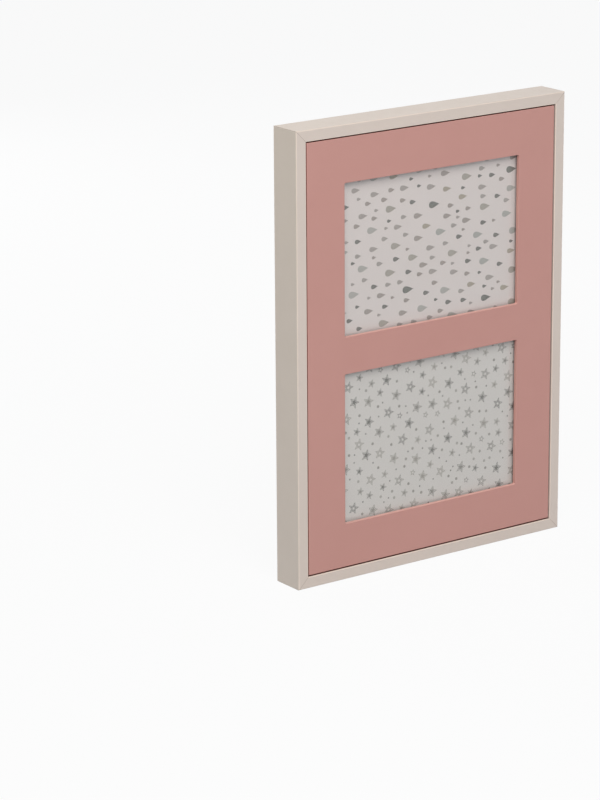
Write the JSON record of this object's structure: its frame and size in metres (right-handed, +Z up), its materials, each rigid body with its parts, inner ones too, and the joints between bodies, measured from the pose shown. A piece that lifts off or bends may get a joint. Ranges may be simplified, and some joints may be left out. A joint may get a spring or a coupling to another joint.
{
  "type": "collage photo frame",
  "caption": "Deep mitred frame round a painted panel with stacked landscape photo windows, with glass, prints and a backing board held by swivel clips.",
  "frame": {"origin": "on the floor, under the middle of the frame, in the middle of its whole depth", "axes": "+X to the right and +Y to the back as seen from the front, +Z up along the frame's long side"},
  "size_m": [0.2682, 0.032, 0.3718],
  "materials": {
    "rail_paint": "smooth warm off-white satin paint on fibreboard",
    "panel_paint": "smooth matt dusty pink paint on fibreboard",
    "strip_wood": "raw sawn wood",
    "glass": "clear float glass",
    "upper_paper": "white paper printed with grey drops",
    "lower_paper": "white paper printed with grey stars",
    "card": "grey board",
    "board": "raw brown hardboard",
    "clip_steel": "zinc-plated sheet steel",
    "rivet_metal": "bright rivet",
    "nail_steel": "plain steel",
    "hanger_steel": "zinc-plated sheet steel",
    "bumper_rubber": "translucent soft rubber"
  },
  "bodies": {
    "frame": {"top_rail": "rail_paint", "bottom_rail": "rail_paint", "left_rail": "rail_paint", "right_rail": "rail_paint", "top_ledge_strip": "strip_wood", "bottom_ledge_strip": "strip_wood", "left_ledge_strip": "strip_wood", "right_ledge_strip": "strip_wood", "front_panel": "panel_paint", "glass_pane": "glass", "upper_print": "upper_paper", "lower_print": "lower_paper", "filler_card": "card", "backing_board": "board", "clip_rivets": "rivet_metal", "corner_v_nails": "nail_steel", "portrait_hanger": "hanger_steel", "landscape_hanger": "hanger_steel", "hanger_nails": "nail_steel", "wall_bumpers": "bumper_rubber"},
    "upper_left_clip_body": {"upper_left_clip": "clip_steel"},
    "lower_left_clip_body": {"lower_left_clip": "clip_steel"},
    "upper_right_clip_body": {"upper_right_clip": "clip_steel"},
    "lower_right_clip_body": {"lower_right_clip": "clip_steel"},
    "top_clip_body": {"top_clip": "clip_steel"},
    "bottom_clip_body": {"bottom_clip": "clip_steel"}
  },
  "joints": [
    {"name": "upper_left_clip_turn", "type": "hinge", "parent": "frame", "child": "upper_left_clip_body", "pos_m": [-0.115, -0.0052, 0.28784], "axis": [0, 1, 0], "continuous": true},
    {"name": "lower_left_clip_turn", "type": "hinge", "parent": "frame", "child": "lower_left_clip_body", "pos_m": [-0.115, -0.0052, 0.08396], "axis": [0, 1, 0], "continuous": true},
    {"name": "upper_right_clip_turn", "type": "hinge", "parent": "frame", "child": "upper_right_clip_body", "pos_m": [0.115, -0.0052, 0.28784], "axis": [0, 1, 0], "continuous": true},
    {"name": "lower_right_clip_turn", "type": "hinge", "parent": "frame", "child": "lower_right_clip_body", "pos_m": [0.115, -0.0052, 0.08396], "axis": [0, 1, 0], "continuous": true},
    {"name": "top_clip_turn", "type": "hinge", "parent": "frame", "child": "top_clip_body", "pos_m": [0, -0.0052, 0.35265], "axis": [0, 1, 0], "continuous": true},
    {"name": "bottom_clip_turn", "type": "hinge", "parent": "frame", "child": "bottom_clip_body", "pos_m": [0, -0.0052, 0.01915], "axis": [0, 1, 0], "continuous": true}
  ]
}
